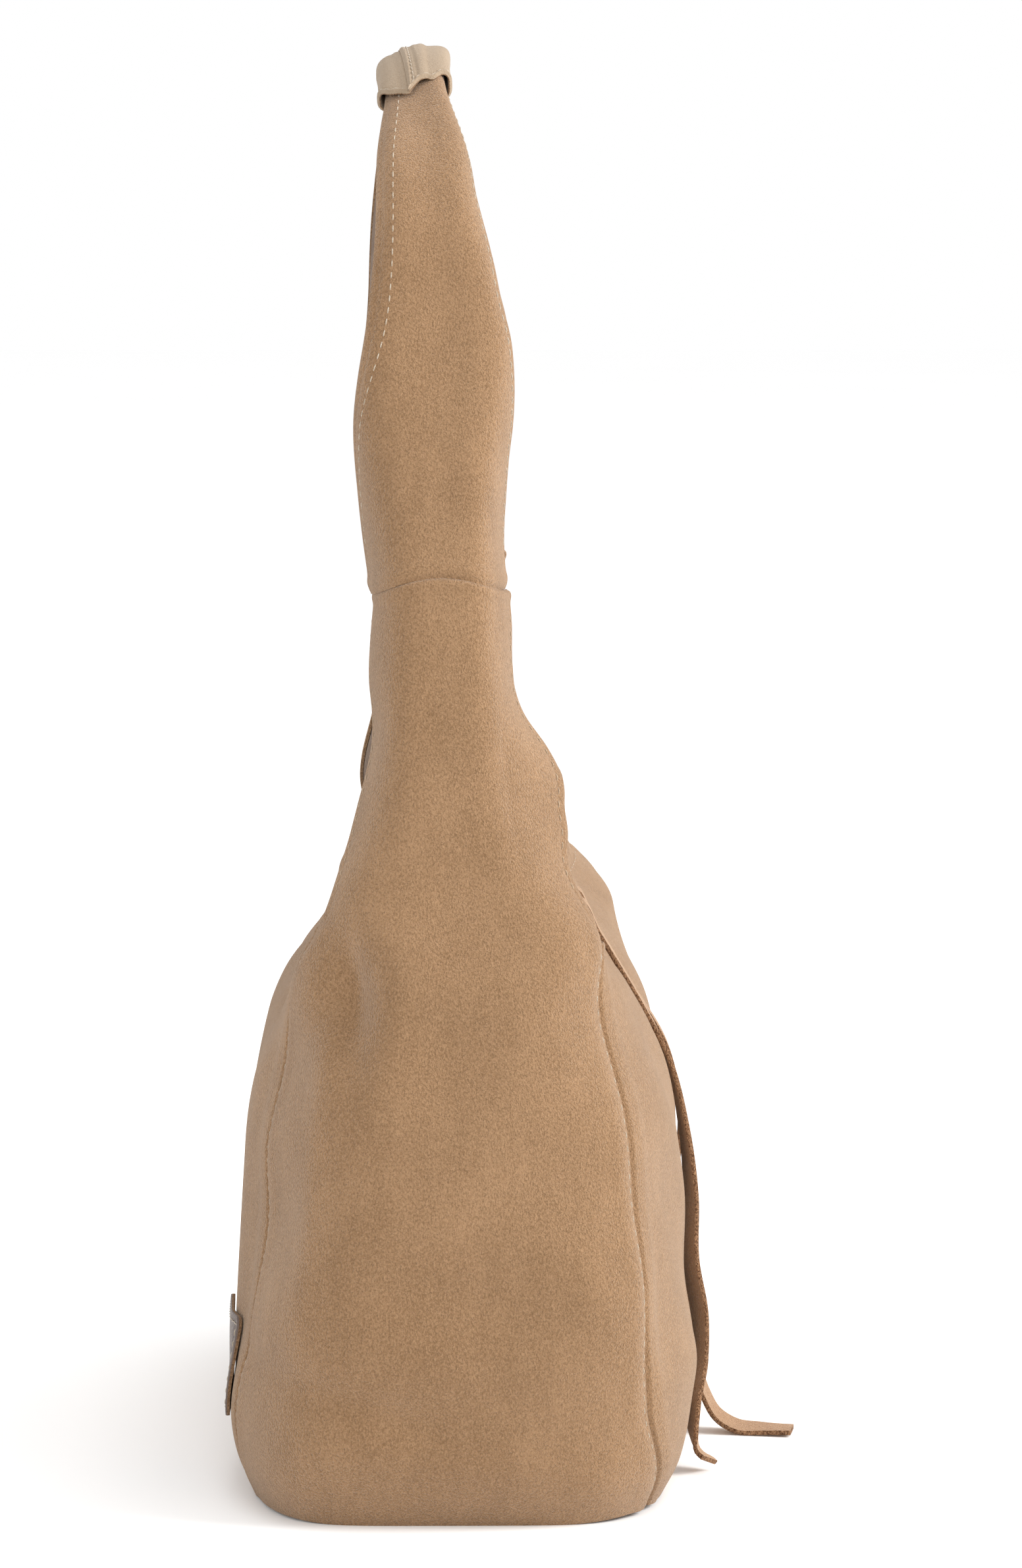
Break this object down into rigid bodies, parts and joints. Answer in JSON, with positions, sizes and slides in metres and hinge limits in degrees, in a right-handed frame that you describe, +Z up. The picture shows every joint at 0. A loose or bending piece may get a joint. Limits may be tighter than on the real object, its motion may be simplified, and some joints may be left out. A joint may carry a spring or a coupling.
{
  "type": "hobo bag",
  "caption": "Soft suede hobo bag: a deep body whose end gussets rise into one wide shoulder strap, with long flat ties hanging from the open mouth.",
  "frame": {"origin": "centre of the base's underside, on the floor that the bag stands on", "axes": "+Z up; X along the bag from its left end (-X) to its right end; the front, where the ties hang, faces -Y and the back, with the leather patch, faces +Y"},
  "size_m": [0.328, 0.2106, 0.5192],
  "materials": {
    "suede": "napped suede",
    "brushed_suede": "finely brushed nubuck",
    "facing": "matt leather",
    "lining": "plain woven cotton",
    "patch": "smooth leather",
    "board": "fibreboard",
    "tape": "woven zip tape",
    "metal": "polished"
  },
  "bodies": {
    "bag": {"front_panel": "suede", "back_panel": "suede", "left_gusset": "suede", "right_gusset": "suede", "base_panel": "suede", "front_tie": "suede", "back_tie": "suede", "front_rim_facing": "facing", "back_rim_facing": "facing", "left_neck_facing": "facing", "right_neck_facing": "facing", "zip_frame": "facing", "front_lining": "lining", "back_lining": "lining", "left_gusset_lining": "lining", "right_gusset_lining": "lining", "base_lining": "lining", "slip_pocket": "lining", "zip_pocket": "lining", "back_patch": "patch", "base_board": "board", "zip_tape_lower": "tape", "zip_tape_upper": "tape", "zip_chain_lower": "metal", "zip_chain_upper": "metal", "zip_stop_left": "metal", "zip_stop_right": "metal"},
    "strap": {"strap_left": "suede", "strap_right": "suede", "strap_sleeve": "brushed_suede"},
    "zip_slider": {"zip_slider": "metal"},
    "zip_puller": {"zip_puller": "metal"}
  },
  "joints": [
    {"name": "strap_fall", "type": "hinge", "parent": "bag", "child": "strap", "pos_m": [0, 0.005, 0.287], "axis": [1, 0, 0], "range_deg": [-100, 100]},
    {"name": "zip_slide", "type": "slide", "parent": "bag", "child": "zip_slider", "axis": [1, 0, 0], "range_m": [0, 0.1166]},
    {"name": "puller_swing", "type": "hinge", "parent": "zip_slider", "child": "zip_puller", "pos_m": [-0.0584, 0.06492, 0.12128], "axis": [0, 0.0838, -0.9965], "range_deg": [0, 180]}
  ]
}
